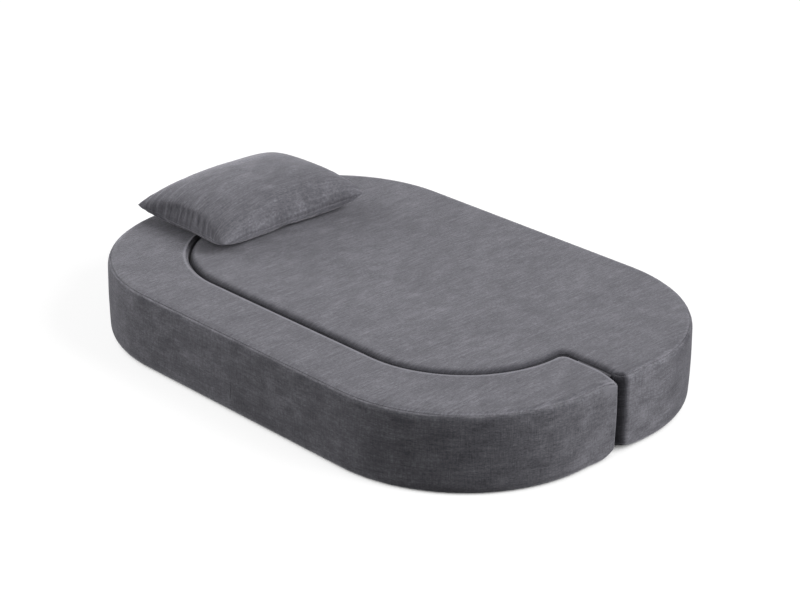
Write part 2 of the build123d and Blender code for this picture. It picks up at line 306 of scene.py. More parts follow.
def wovenPlain(name, dark, light, pitch):
    # an even plain weave, for the zips' tapes and the underside
    b = NodeBench(name)
    cloth = b.cloth()
    parts = b.add("ShaderNodeSeparateXYZ")
    b.join(cloth, parts.inputs[0])
    warp, weft = (
        b.calc("SINE", b.calc("MULTIPLY", parts.outputs[axis], 2 * math.pi / pitch), 0)
        for axis in ("X", "Y")
    )
    weave = b.spread(b.calc("MULTIPLY", warp, weft), -1, 1)
    wear = b.flecks(cloth, 0.02, 0.03, *softNoise)
    tone = b.calc("ADD", b.calc("MULTIPLY", weave, 0.6), b.calc("MULTIPLY", wear, 0.4))
    b.colour(tone, [(0.2, dark), (0.8, light)])
    setInputs(b.shader, {"Roughness": 0.9, "Specular IOR Level": 0.2})
    b.bump(weave, 0.5, 0.0004)
    return b.mat


def foamCells(name, dark, light):
    b = NodeBench(name)
    cells = b.add("ShaderNodeTexVoronoi")
    setInputs(cells, {"Scale": 420})
    b.join(b.object(), cells.inputs["Vector"])
    tone = b.spread(cells.outputs["Distance"], 0.0, 0.8)
    b.colour(tone, [(0.1, dark), (0.7, light)])
    setInputs(b.shader, {"Roughness": 1.0, "Specular IOR Level": 0.1})
    b.bump(tone, 0.6, 0.001)
    return b.mat


# tone and grain: size across, size along, detail and roughness of the noise
smallFinishes = {
    "zipCoilPlastic": {
        "tone": (0.004, 0.004, *softNoise),
        "colours": [(0.3, (0.030, 0.030, 0.033)), (0.7, (0.055, 0.055, 0.060))],
        "rough": (0.38, 0.52),
        "bump": (0.15, 0.0002),
    },
    "zipMetal": {
        "tone": (0.005, 0.005, 4.0, 0.6),
        "grain": (0.0006, 0.006, 3.0, 0.65),
        "colours": [(0.3, (0.20, 0.20, 0.205)), (0.75, (0.36, 0.36, 0.365))],
        "rough": (0.34, 0.50),
        "bump": (0.12, 0.0002),
        "more": {"Metallic": 1.0},
    },
    "sewingThread": {
        "tone": (0.0008, 0.0008, 2.0, 0.6),
        "colours": [(0.3, (0.17, 0.168, 0.18)), (0.7, (0.29, 0.287, 0.305))],
        "rough": (0.8, 0.8),
        "bump": (0.3, 0.0003),
        "more": {"Sheen Weight": 0.15},
    },
    "gripDots": {
        "tone": (0.003, 0.003, 2.0, 0.5),
        "colours": [(0.3, (0.020, 0.020, 0.022)), (0.7, (0.040, 0.040, 0.043))],
        "rough": (0.45, 0.6),
        "bump": (0.2, 0.0002),
    },
}


def smallFinish(name):
    f = smallFinishes[name]
    b = NodeBench(name)
    tone = b.flecks(b.object(), *f["tone"])
    grain = b.flecks(b.object(), *f["grain"]) if "grain" in f else tone
    b.colour(tone, f["colours"])
    b.join(b.spread(grain, 0.3, 0.7, *f["rough"]), b.shader.inputs["Roughness"])
    setInputs(b.shader, f.get("more", {}))
    b.bump(grain, *f["bump"])
    return b.mat


topCloth = coverFabric("topCloth")
wallCloth = coverFabric("wallCloth", 1.0, velvetWall)
# darker copy of the wall cloth for the groove, the cuts and the bolster's ends: painted shade in
# the recesses
grooveShadeCloth = coverFabric("grooveShadeCloth", 0.58, velvetWall)
# darker copy of the wall cloth for the front right wall: a change of pile direction, and painted
# shade
frontRightShadeCloth = coverFabric("frontRightShadeCloth", 0.82, velvetWall)
pillowCloth = coverFabric("pillowCloth", 1.02)
# dark copy of the top cloth for the hinge strips: painted shade, so the cut between the blocks
# looks dark
hingeShadeCloth = coverFabric("hingeShadeCloth", 0.5)
baseCloth = wovenPlain("baseCloth", (0.018, 0.018, 0.020), (0.045, 0.045, 0.048), 0.0014)
tapeCloth = wovenPlain("tapeCloth", (0.030, 0.030, 0.033), (0.070, 0.070, 0.075), 0.0007)
firmFoam = foamCells("firmFoam", (0.52, 0.49, 0.36), (0.80, 0.77, 0.62))
softFoam = foamCells("softFoam", (0.62, 0.60, 0.53), (0.88, 0.86, 0.80))
fibreFill = foamCells("fibreFill", (0.70, 0.70, 0.69), (0.90, 0.90, 0.89))
coilMaterial = smallFinish("zipCoilPlastic")
metalMaterial = smallFinish("zipMetal")
threadMaterial = smallFinish("sewingThread")
dotMaterial = smallFinish("gripDots")
print("materials ready")

# outlines of the two blocks
bed = {
    "halfLength": 0.900,
    "halfWidth": 0.615,
    "height": 0.245,
    "outerCorner": 0.476,
    "bolsterWidth": 0.210,
    "innerCorner": 0.350,
    "groove": 0.007,
    "cutFace": 0.005,
    "seatStanding": 0.034,
    "endStanding": 0.018,
    "rimStanding": 0.030,
    "nookRound": 0.015,
    "floorRound": 0.030,
    "cornerFloorRound": (0.022, 0.0145),  # at the nooks and the seat's ends, at the bolster's ends
    "floorSeam": 30,
    # soft edges along the top: how far they reach in, and how far down
    "outerEdge": (0.028, 0.021),
    "tongueEdge": (0.034, 0.027),
    "tongueEdgeLeft": (0.019, 0.015),
    "rimEdge": (0.014, 0.012),
    # where one edge passes into the next, from and to
    "innerByCut": (0.008, 0.05),
    "innerByEnd": (0.83, 0.893),
    "tongueToLeft": (0.40, 0.62),
    "rimAround": (0.03, 0.02),
    "rimByCut": (-0.080, -0.025),
    "floorByCorner": (0.03, 0.10),
    "bulge": 0.0022,
    # standing corners at the cuts: reach, lift at the floor, droop at the top
    "seatCorner": (0.11, 0.034, 0.004),
    "bolsterCorner": (0.088, 0.028, 0.021),
    "liftUpTo": 0.13,
    "droopFrom": 0.15,
    "fabric": 0.002,
    "ease": 0.0003,
    "topper": 0.045,
    "frontSeamX": -0.020,
}
pathSteps = {
    "bend": 0.14,  # longest step in a bend, as a share of its radius
    "least": 0.0008,
    "beside": (-0.009, -0.005, -0.0028, -0.0014, 0.0, 0.0014, 0.0028, 0.005, 0.009),
}


def roundedPath(corners):
    # closed path with right-angled, rounded corners (x, y, radius): a bend, its side, and so on
    pieces = []
    for i, (x, y, r) in enumerate(corners):
        (px, py, _), (nx, ny, nr) = corners[i - 1], corners[(i + 1) % len(corners)]
        (inX, inY), (outX, outY) = np.sign((x - px, y - py)), np.sign((nx - x, ny - y))
        centre = Vector((x - inX * r + outX * r, y - inY * r + outY * r))
        start = math.atan2(-outY, -outX)
        span = math.radians(90 * (inX * outY - inY * outX))
        long = abs(span) * r
        pieces.append({"long": long, "centre": centre, "radius": r, "start": start, "span": span})
        near = Vector((x + outX * r, y + outY * r))
        far = Vector((nx - outX * nr, ny - outY * nr))
        pieces.append({"long": (far - near).length, "from": near, "to": far})
    return pieces


def seatCorners(o):
    a, b, c = o["halfLength"], o["halfWidth"], o["cutFace"]
    t, w = (x - o["bolsterWidth"] - o["groove"] for x in (a, b))
    end, outer, nook = o["seatStanding"], o["outerCorner"], o["nookRound"]
    inner = o["innerCorner"] - o["groove"]
    back = [(a, c, end), (a, b, outer), (-a, b, outer), (-a, c, end)]
    return back + [(-t, c, nook), (-t, -w, inner), (t, -w, inner), (t, c, nook)]


def bolsterCorners(o):
    a, b, c = o["halfLength"], o["halfWidth"], o["cutFace"]
    t, w = a - o["bolsterWidth"], b - o["bolsterWidth"]
    end, outer = o["endStanding"], o["outerCorner"]
    rim, inner = o["rimStanding"], o["innerCorner"]
    front = [(-a, -c, end), (-a, -b, outer), (a, -b, outer), (a, -c, end)]
    return front + [(t, -c, rim), (t, -w, inner), (-t, -w, inner), (-t, -c, rim)]


class Outline:
    # a closed path of straight lines and bends, run through by its length
    def __init__(self, pieces):
        self.pieces = pieces
        self.starts = list(np.cumsum([0] + [p["long"] for p in pieces]))
        self.long = self.starts[-1]

    def at(self, s):
        # place and outward direction
        s = s % self.long
        k = min(int(np.searchsorted(self.starts, s, side="right")) - 1, len(self.pieces) - 1)
        p = self.pieces[k]
        share = (s - self.starts[k]) / p["long"]
        if "centre" in p:
            angle = p["start"] + p["span"] * share
            spoke = Vector((math.cos(angle), math.sin(angle)))
            return p["centre"] + spoke * p["radius"], spoke if p["span"] > 0 else -spoke
        along = (p["to"] - p["from"]).normalized()
        return p["from"].lerp(p["to"], share), Vector((along.y, -along.x))

    def stops(self, first, last, step, fine=(), breaks=()):
        # lengths from first to last, closer together in tight bends, at fine places and at breaks
        marks = {first, last}
        for k, p in enumerate(self.pieces):
            for lap in (-self.long, 0, self.long):
                low, high = self.starts[k] + lap, self.starts[k + 1] + lap
                low, high = max(low, first), min(high, last)
                if high - low > 1e-6:
                    own = min(step, p["radius"] * pathSteps["bend"]) if "centre" in p else step
                    count = max(1, math.ceil((high - low) / own))
                    marks.update(low + (high - low) * i / count for i in range(count + 1))
        for spot in fine:
            marks.update(spot + d for d in pathSteps["beside"])
        marks.update(breaks)
        kept = []
        keepers = [first, last, *fine, *breaks]
        for m in sorted(x for x in marks if first - 1e-9 <= x <= last + 1e-9):
            if kept and m - kept[-1] < pathSteps["least"]:
                if any(abs(m - x) < 1e-9 for x in keepers):
                    kept[-1] = m
                continue
            kept.append(m)
        return kept


seatPath = Outline(roundedPath(seatCorners(bed)))
bend, *others = roundedPath(bolsterCorners(bed))
bolsterPath = Outline([*others, bend])  # starts with a side


def smooth(x, low, high):
    t = min(1.0, max(0.0, (x - low) / (high - low)))
    return t * t * (3 - 2 * t)


def mix(a, b, t):
    return tuple(x + (y - x) * t for x, y in zip(a, b))


def bell(x, middle, width):
    return math.exp(-(((x - middle) / width) ** 2))


def seatInner(p):
    # 1 round the tongue and along the cuts, 0 along the outside
    return 1 - max(smooth(p.y, *bed["innerByCut"]), smooth(abs(p.x), *bed["innerByEnd"]))


def seatEdge(p):
    # the edge round the tongue and along the cuts is softer than the outer one
    tongue = mix(bed["tongueEdge"], bed["tongueEdgeLeft"], smooth(-p.x, *bed["tongueToLeft"]))
    return mix(bed["outerEdge"], tongue, seatInner(p))


def bolsterInner(p):
    # the rim of the well and of the cuts is crisper than the outer edge
    t, w = bed["halfLength"] - bed["bolsterWidth"], bed["halfWidth"] - bed["bolsterWidth"]
    past, change = bed["rimAround"]
    inside = smooth(t + past - abs(p.x), 0, change) * smooth(w + past + p.y, 0, change)
    # an edge never reaches past the centre of a standing corner
    return max(inside, smooth(p.y, *bed["rimByCut"]))


def bolsterEdge(p):
    return mix(bed["outerEdge"], bed["rimEdge"], bolsterInner(p))


def floorRound(p, k=bed):
    # rounder along the sides than at the standing corners and in the nooks
    nook, end = k["cornerFloorRound"]
    y = abs(p.y) - k["cutFace"]
    outer, inner = (
        1 - smooth(math.hypot(abs(p.x) - x, y), *k["floorByCorner"])
        for x in (k["halfLength"], k["halfLength"] - k["bolsterWidth"])
    )
    corner = end if p.y < 0 else nook
    return k["floorRound"] + (corner - k["floorRound"]) * outer + (nook - k["floorRound"]) * inner


def soften(spot, block):
    # the corners beside the cuts lift off the floor a little and droop at the top
    reach, lift, droop = bed[block + "Corner"]
    y = bed["cutFace"] * (1 if block == "seat" else -1)
    far = math.hypot(abs(spot.x) - bed["halfLength"], spot.y - y)
    near = max(0.0, 1 - far / reach) ** 2
    if near:
        spot = spot.copy()
        rise = lift * near * (1 - smooth(spot.z, 0, bed["liftUpTo"]))
        fall = droop * near * smooth(spot.z, bed["droopFrom"], bed["height"])
        spot.z += rise - fall
    return spot


blocks = {
    "seat": (seatPath, seatEdge, seatInner),
    "bolster": (bolsterPath, bolsterEdge, bolsterInner),
}

# skins: the covers follow the outlines and climb from the floor to the top
skin = {
    "step": 0.0065,
    "topGrid": 0.017,
    "slack": 0.0012,
    "gather": 0.0006,
    # depth of the groove at a seam, height of the ridge beside it
    "seam": (0.0015, 0.0005),
    "rimSeam": (0.0016, 0.0013),
    "hiddenSeam": (0.0003, 0),
    "side": (0.0002, 0.0),
    # width of the groove, then where the ridge lies and how wide it is
    "groove": 0.0015,
    "ridge": (0.0052, 0.0028),
    # share, size and own seed of each ripple
    "wallRipples": ((0.8, 0.16, 0), (0.45, 0.05, 5)),
    "topRipples": ((0.9, 0.30, 0), (0.5, 0.09, 3)),
    "wallPleat": (0.012, 0.3),
    "topPleat": 0.011,
    # how far from the floor seam and from the top the wall swells, and how softly that starts
    "swell": (0.010, 0.008, 0.03),
    "gatherReach": (0.035, 0.03),  # how far from the top and from the floor the cloth gathers
    "seamReach": (0.001, 0.004),  # where beside a seam that sets in
    "calm": (0.25, 0.5, 0.2),  # slack, pleats and bulge of the hidden walls
}


def wave(x, y, z):
    return noise.noise(Vector((x, y, z)))


def ripple(p, size, seed):
    return wave(p.x / size + seed * 7.3, p.y / size - seed * 3.1, p.z / size + seed)


def ripples(p, waves, seed):
    return sum(share * ripple(p, size, seed + own) for share, size, own in waves)


def seamDip(away, size):
    # how deep the cloth lies near a seam: a groove with a low ridge beside it
    dip, ridge = size
    return dip * bell(away, 0, skin["groove"]) - ridge * bell(away, *skin["ridge"])


def place(point, out, kind, value, dip, edge, block):
    # a point of the skin, sunk by dip, and its direction
    h, f = bed["height"], floorRound(point)
    reach, drop = edge
    if kind == "floor":
        a = math.radians(value)
        inset, z = f * (1 - math.sin(a)), f * (1 - math.cos(a))
        tilt, rise = math.sin(a), -math.cos(a)
    elif kind == "wall":
        inset, z, tilt, rise = 0, f + (h - f - drop) * value, 1, 0
    elif kind == "top":
        a = math.radians(value)
        inset, z = reach * (1 - math.cos(a)), h - drop * (1 - math.sin(a))
        tilt, rise = math.cos(a) * drop, math.sin(a) * reach
        long = math.hypot(tilt, rise)
        tilt, rise = tilt / long, rise / long
    else:
        inset, tilt = (reach if kind == "flat" else f) + value, 0
        z, rise = (h, 1) if kind == "flat" else (0, -1)
    flat = point - out * inset
    way = Vector((out.x * tilt, out.y * tilt, rise))
    spot = Vector((flat.x, flat.y, z)) - way * dip
    return soften(spot, block), way


def smoothMesh(name, points, faces):
    mesh = bpy.data.meshes.new(name)
    mesh.from_pydata([tuple(p) for p in points], [], faces, shade_flat=False)
    return mesh


def thicken(obj, thickness):
    wall = obj.modifiers.new("thickness", "SOLIDIFY")
    wall.thickness = thickness
    wall.offset = -1


def clothMesh(name, points, faces, weave, material, thickness=None, paintedLight=None):
    mesh = smoothMesh(name, points, faces)
    corners = np.zeros(len(mesh.loops), np.int32)
    mesh.loops.foreach_get("vertex_index", corners)
    uvs = np.array(weave, np.float32)[corners].ravel()
    mesh.uv_layers.new(name="weave").data.foreach_set("uv", uvs)
    # painted light and shade per point, which the cloth's shader adds to its tone
    if paintedLight:
        mesh.attributes.new("paintedLight", "FLOAT", "POINT").data.foreach_set("value", paintedLight)
    mesh.materials.append(material)
    mesh.validate()
    mesh.update()
    obj = addObject(name, mesh)
    if thickness:
        thicken(obj, thickness)
    return obj


def gridFaces(rows, columns, loop):
    # rows follow the outline, columns climb the skin; faces look outwards
    faces = []
    last = rows if loop else rows - 1
    for i in range(last):
        for j in range(columns - 1):
            a, b = i * columns + j, ((i + 1) % rows) * columns + j
            faces.append((a, b, b + 1, a + 1))
    return faces


wallStations = (
    [("floor", a) for a in (30, 33, 37, 43, 52, 64, 77)]
    + [("wall", v / 100) for v in (0, 5, 14, 19, 24, 29, *range(34, 100, 6), 100)]
    + [("top", a) for a in (14, 24, 31, 36, 40, 43, 45)]
)
zipSlot = {"low": 0.037, "high": 0.047, "beside": 0.002}


def slotStations():
    # the same climb with rows at the edges of the zip's slot
    start = bed["floorRound"]
    span = bed["height"] - start - bed["outerEdge"][1]
    low, high, beside = zipSlot["low"], zipSlot["high"], zipSlot["beside"]
    walls = [("wall", (z - start) / span) for z in (low - beside, low, high, high + beside)]
    walls += [s for s in wallStations if s[0] == "wall" and not 0.01 < s[1] < 0.16]
    floors, tops = ([s for s in wallStations if s[0] == kind] for kind in ("floor", "top"))
    return floors + sorted(walls) + tops


def seamSize(kind, inner, block):
    # round the tongue and the cuts of the seat the seam is out of sight
    if kind == "floor":
        return skin["seam"]
    return mix(skin["seam"], skin["hiddenSeam" if block == "seat" else "rimSeam"], inner)


def seamAway(kind, value, edge):
    # distance along the skin from the seam in a rounded edge
    if kind == "floor":
        return math.radians(abs(value - bed["floorSeam"])) * bed["floorRound"]
    if kind == "top":
        return abs(math.radians(45 - value)) * (edge[0] + edge[1]) / 2
    return 1.0


def skinPoint(p, out, kind, value, edge, inner, block):
    # a point of the skin with the seam's groove, its direction and its distance from the seam
    away = seamAway(kind, value, edge)
    dip = seamDip(away, seamSize(kind, inner, block))
    return *place(p, out, kind, value, dip, edge, block), away


# painted highlights along the seams and standing edges, painted light below the bolster's rim, and
# painted shade round the tongue and beside the cuts where the blocks shade each other
paintedLightMarks = {
    "seatEdge": (0.20, 0.0036, 0.0032),  # painted highlight by the seat's outer seam: strength, distance from the seam, width
    "seatShade": (0.70, 1.15),  # painted shade round the tongue, beside the cuts
    "cutReach": (0.030, 0.048),
    "upright": (0.6, 0.0035),  # painted highlight down the bolster's standing edges: strength and width
    # painted light below the rim's seam and on the top of the bolster's inner wall
    "rim": {"top": 0.55, "wall": 0.45},
    "edge": (0.26, 0.44),  # painted highlight by the top seam: along the outside, more round the rim
    "edgeAt": (0.0032, 0.0045, 0.0030),  # distance from the seam, more round the rim, width
}
# painted light and shade on the walls round the right end, by which way each wall faces: strength,
# direction in degrees, width
facingLightMarks = ((0.20, 0, 8), (-0.24, -40, 20), (-0.26, 24, 14))


# painted light and shade of one point of a cover, added to the tone of its cloth
def paintedLightMark(kind, value, away, inner, block, s, k=paintedLightMarks):
    path = blocks[block][0]
    if block == "seat":
        onEdge = {"top": 1 - smooth(value, 45, 80), "flat": 0}.get(kind, 1)
        toCut = min(s, abs(path.starts[7] - s)) if s < path.starts[7] + 1e-6 else 1.0
        atTongue, atCut = k["seatShade"]
        atCut *= 1 - smooth(toCut, *k["cutReach"])
        strength, middle, width = k["seatEdge"]
        paintedShade = max(atTongue * inner * (kind == "top"), atCut) * onEdge
        return strength * (1 - inner) * bell(away, middle, width) - paintedShade
    half, turn = path.long / 2, 0.25 * path.pieces[5]["long"]
    uprights = (path.starts[5] + turn, path.starts[16] - turn)
    corner = min(abs((s - m + half) % path.long - half) for m in uprights)
    strength, width = k["upright"]
    outer, more = k["edge"]
    middle, further, spread = k["edgeAt"]
    most = 0 if kind == "floor" else outer + more * inner
    under = {"top": value < 45, "wall": smooth(value, 0.80, 1)}.get(kind, 0)
    return max(
        strength * bell(corner, 0, width),
        under * k["rim"].get(kind, 0) * inner,
        most * bell(away, middle + further * inner, spread),
    )


# painted light and shade by the wall's facing direction
def paintedFacingLight(out):
    angle = math.degrees(math.atan2(out.y, out.x))
    return sum(strength * bell(angle, middle, width) for strength, middle, width in facingLightMarks)


def wallPanel(name, block, first, last, material, seed, slot=(), calm=False):
    # one standing panel of a cover, from length first to last along the outline
    path, edgeOf, innerOf = blocks[block]
    height = bed["height"]
    stations = slotStations() if slot else wallStations
    stops = path.stops(first, last, skin["step"], (first, last), slot)
    low, high, soft = skin["swell"]
    nearTop, nearFloor = skin["gatherReach"]
    pleatLong, pleatTall = skin["wallPleat"]
    slackShare, pleatShare, bulgeShare = skin["calm"] if calm else (1, 1, 1)
    points, weave, paintedLight = [], [], []
    for s in stops:
        p, out = path.at(s)
        edge, inner = edgeOf(p), innerOf(p)
        toEnd = min(s - first, last - s)
        for kind, value in stations:
            spot, way, away = skinPoint(p, out, kind, value, edge, inner, block)
            fade = smooth(min(spot.z - low, height - high - spot.z), 0, soft)
            slack = skin["slack"] * ripples(spot, skin["wallRipples"], seed)
            climb = min(1, max(0, (spot.z - 0.01) / (height - 0.02)))
            bulge = bed["bulge"] * math.sin(math.pi * climb)
            seamNear = bell(spot.z, height, nearTop) + bell(spot.z, 0, nearFloor)
            pleats = ripple(Vector((s / pleatLong, 0, spot.z / pleatTall)), 1, seed + 9)
            pleats *= skin["gather"] * seamNear * pleatShare
            push = (slack * slackShare + bulge * bulgeShare) * fade
            push += pleats * smooth(toEnd, 0, 0.01) * smooth(away, *skin["seamReach"])
            points.append(spot + way * (push - seamDip(toEnd, skin["side"])))
            weave.append((spot.z, s))
            # painted highlights and shade of this point, plus painted light by facing on the open
            # walls
            mark = paintedLightMark(kind, value, away, inner, block, s)
            paintedLight.append(mark + (0 if calm else paintedFacingLight(out)))
    faces = gridFaces(len(stops), len(stations), False)
    if slot:
        faces = cutSlot(faces, points, stops, len(stations), slot)
    return clothMesh(name, points, faces, weave, material, bed["fabric"], paintedLight)


def cutSlot(faces, points, stops, columns, slot):
    # leaves the zip's slot open
    kept = []
    for f in faces:
        z = sum(points[i].z for i in f) / 4
        s = (stops[f[0] // columns] + stops[f[1] // columns]) / 2
        if not (zipSlot["low"] < z < zipSlot["high"] and slot[0] < s < slot[1]):
            kept.append(f)
    return kept


def insideRing(spots, polygon):
    # which spots lie inside a closed polygon, and how far each one is from its sides
    inside = np.zeros(len(spots), bool)
    nearest = np.full(len(spots), 1e9)
    for p, q in zip(polygon, np.roll(polygon, -1, axis=0)):
        crosses = (p[1] > spots[:, 1]) != (q[1] > spots[:, 1])
        reach = (q[0] - p[0]) * (spots[:, 1] - p[1]) / (q[1] - p[1] + 1e-15) + p[0]
        inside ^= crosses & (spots[:, 0] < reach)
        d = q - p
        t = np.clip(((spots - p) @ d) / max(d @ d, 1e-15), 0, 1)
        nearest = np.minimum(nearest, np.linalg.norm(spots - (p + t[:, None] * d), axis=1))
    return inside, nearest


def fillRing(points, ring, spacing, heightOf, flip):
    # closes a ring of points with a level, even mesh: adds its points and returns its faces
    polygon = np.array([(points[i].x, points[i].y) for i in ring])
    low, high = polygon.min(axis=0), polygon.max(axis=0)
    gx, gy = np.meshgrid(*(np.arange(low[i], high[i], spacing) for i in (0, 1)))
    gx = gx + (np.arange(gx.shape[0]) % 2)[:, None] * spacing / 2  # staggered rows
    spots = np.column_stack((gx.ravel(), gy.ravel()))
    inside, nearest = insideRing(spots, polygon)
    spots = spots[inside & (nearest > spacing * 0.55)]
    count = len(ring)
    flat = [Vector(p) for p in (*polygon, *spots)]
    edges = [(i, (i + 1) % count) for i in range(count)]
    verts, _, faces, origins, _, _ = delaunay_2d_cdt(flat, edges, [], 1, 1e-7)
    index = []
    for v, source in zip(verts, origins):
        old = [o for o in source if o < count]
        index.append(ring[old[0]] if old else len(points))
        if not old:
            points.append(Vector((v.x, v.y, heightOf(v.x, v.y))))
    out = []
    for f in faces:
        area = sum(verts[a].cross(verts[b]) for a, b in zip(f, (*f[1:], f[0])))
        corners = [index[i] for i in f]
        if (area < 0) != flip:
            corners.reverse()
        if len(set(corners)) == len(corners):
            out.append(tuple(corners))
    return out


def levelAt(z, block):
    return lambda x, y: soften(Vector((x, y, z)), block).z


def flatWeave(points):
    return [(p.x, p.y) for p in points]


def topPanel(name, block, material, seed):
    path, edgeOf, innerOf = blocks[block]
    stations = [("top", a) for a in (45, 47, 50, 54, 60, 67, 74, 82, 90)] + [("flat", 0.0035)]
    stops = path.stops(0, path.long, skin["step"])[:-1]
    flatHere = levelAt(bed["height"], block)
    points, paintedLight = [], []

    def level(x, y):
        spot = Vector((x, y, bed["height"]))
        sag = -abs(skin["slack"] * ripples(spot, skin["topRipples"], seed))
        return soften(spot + Vector((0, 0, sag)), block).z

    for s in stops:
        p, out = path.at(s)
        edge, inner = edgeOf(p), innerOf(p)
        for kind, value in stations:
            spot, way, away = skinPoint(p, out, kind, value, edge, inner, block)
            share = 1
            if kind == "top":
                pleats = ripple(Vector((s / skin["topPleat"], 0, 0)), 1, seed + 9)
                pleats *= skin["gather"] * smooth(away, *skin["seamReach"])
                spot = spot + way * pleats * (90 - value) / 45
                share = smooth(value, 50, 90)
            spot.z += (level(spot.x, spot.y) - flatHere(spot.x, spot.y)) * share
            points.append(spot)
            # painted highlights and shade of this point
            paintedLight.append(paintedLightMark(kind, value, away, inner, block, s))
    faces = gridFaces(len(stops), len(stations), True)
    ring = [i * len(stations) + len(stations) - 1 for i in range(len(stops))]
    faces += fillRing(points, ring, skin["topGrid"], level, False)
    paintedLight += [0.0] * (len(points) - len(paintedLight))
    return clothMesh(name, points, faces, flatWeave(points), material, bed["fabric"], paintedLight)


def basePanel(name, block, material, lift):
    path = blocks[block][0]
    stations = [("base", 0.003), ("base", 0)] + [("floor", a) for a in (9, 17, 23, 27, 30)]
    stops = path.stops(0, path.long, skin["step"] * 1.5)[:-1]
    points = []
    for s in stops:
        p, out = path.at(s)
        for kind, value in stations:
            dip = -lift
            if kind == "floor":
                dip = max(0.0, seamDip(seamAway(kind, value, None), skin["seam"]))
            spot = place(p, out, kind, value, dip, bed["outerEdge"], block)[0]
            spot.z = max(spot.z, lift)
            points.append(spot)
    faces = gridFaces(len(stops), len(stations), True)
    ring = [i * len(stations) for i in range(len(stops))]
    faces += fillRing(points, ring, skin["topGrid"] * 2, levelAt(lift, block), True)
    return clothMesh(name, points, faces, flatWeave(points), material, bed["fabric"])


foam = {"step": 0.02, "grid": 0.04, "under": bed["fabric"] + bed["ease"] + 0.0014}


def foamBlock(name, block, low, high, material):
    # a closed block of foam under the cover, between two levels
    path, edgeOf, _ = blocks[block]
    h, inset = bed["height"], foam["under"]
    onFloor, toTop = low < bed["floorRound"], high > h - 0.01
    cuts = [("floor", a) for a in (0, 20, 45, 70, 90)] if onFloor else [("level", low)]
    cuts += [("top", a) for a in (0, 30, 60, 90)] if toTop else [("level", high)]
    stops = path.stops(0, path.long, foam["step"])[:-1]
    points = []
    for s in stops:
        p, out = path.at(s)
        for kind, value in cuts:
            if kind == "level":
                points.append(soften(Vector((*(p - out * inset), value)), block))
            else:
                points.append(place(p, out, kind, value, inset, edgeOf(p), block)[0])
    faces = gridFaces(len(stops), len(cuts), True)
    bottom = [i * len(cuts) for i in range(len(stops))]
    crest = [i + len(cuts) - 1 for i in bottom]
    lowAt = levelAt(inset if onFloor else low, block)
    highAt = levelAt(h - inset if toTop else high, block)
    faces += fillRing(points, bottom, foam["grid"], lowAt, True)
    faces += fillRing(points, crest, foam["grid"], highAt, False)
    return clothMesh(name, points, faces, flatWeave(points), material)


def dress(obj, body, node):
    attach(obj, body)
    if node:
        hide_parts(node)


def coverBlock(block, seed, walls, base):
    # the whole cover of a block: top, walls and underside
    top = topPanel(block + "_top_cloth", block, topCloth, seed)
    dress(top, block, block + "_top_panel")
    for i, (name, node, first, last, material, more) in enumerate(walls):
        wall = wallPanel(block + name, block, first, last, material, seed + 1 + i, **more)
        dress(wall, block, block + node)
    material, slot, lift = base
    under = basePanel(block + "_base_cloth", block, material, lift)
    dress(under, block, block + "_base_panel")


# seat
calm = {"calm": True}
starts = seatPath.starts
seatZip = {"half": 0.390, "z": 0.042}
backMiddle = (starts[3] + starts[4]) / 2
seatSlot = (backMiddle - seatZip["half"], backMiddle + seatZip["half"])
seatWalls = (
    ("_back_cloth", "_back_band", 0, starts[7], wallCloth, {"slot": seatSlot}),
    ("_cut_cloth_left", "_cut_panel_left", starts[7], starts[8], grooveShadeCloth, calm),
    ("_tongue_cloth", "_tongue_band", starts[8], starts[15], grooveShadeCloth, calm),
    ("_cut_cloth_right", "_cut_panel_right", starts[15], starts[16], grooveShadeCloth, calm),
)
coverBlock("seat", 1, seatWalls, (baseCloth, "base_fabric", 0.0007))
topperLine = bed["height"] - bed["fabric"] - bed["ease"] - bed["topper"]
firm = foamBlock("seat_foam_low", "seat", 0.0, topperLine - bed["ease"], firmFoam)
dress(firm, "seat", "seat_foam_base")
soft = foamBlock("seat_foam_soft", "seat", topperLine, bed["height"], softFoam)
dress(soft, "seat", "seat_foam_topper")
print("seat done")

# bolster
starts = bolsterPath.starts
frontSeam = starts[2] + (bed["frontSeamX"] + bed["halfLength"] - bed["outerCorner"])
bolsterZip = {"start": 2.0, "sweep": 40.0, "z": 0.042}
arcLong = math.radians(1) * bed["outerCorner"]
slotStart = starts[1] + bolsterZip["start"] * arcLong
bolsterSlot = (slotStart, starts[1] + (bolsterZip["start"] + bolsterZip["sweep"]) * arcLong)
leftEnd, zipped = starts[15] - bolsterPath.long, {"slot": bolsterSlot}
bolsterWalls = (
    ("_outer_cloth_left", "_outer_band_left", leftEnd, frontSeam, wallCloth, zipped),
    ("_outer_cloth_right", "_outer_band_right", frontSeam, starts[6], frontRightShadeCloth, {}),
    ("_end_cloth_right", "_end_panel_right", starts[6], starts[7], grooveShadeCloth, calm),
    ("_inner_cloth", "_inner_band", starts[7], starts[14], grooveShadeCloth, calm),
    ("_end_cloth_left", "_end_panel_left", starts[14], starts[15], grooveShadeCloth, calm),
)
coverBlock("bolster", 11, bolsterWalls, (topCloth, "cover_fabric", 0.0003))
core = foamBlock("bolster_foam", "bolster", 0.0, bed["height"], firmFoam)
dress(core, "bolster", "bolster_foam_core")
print("bolster done")

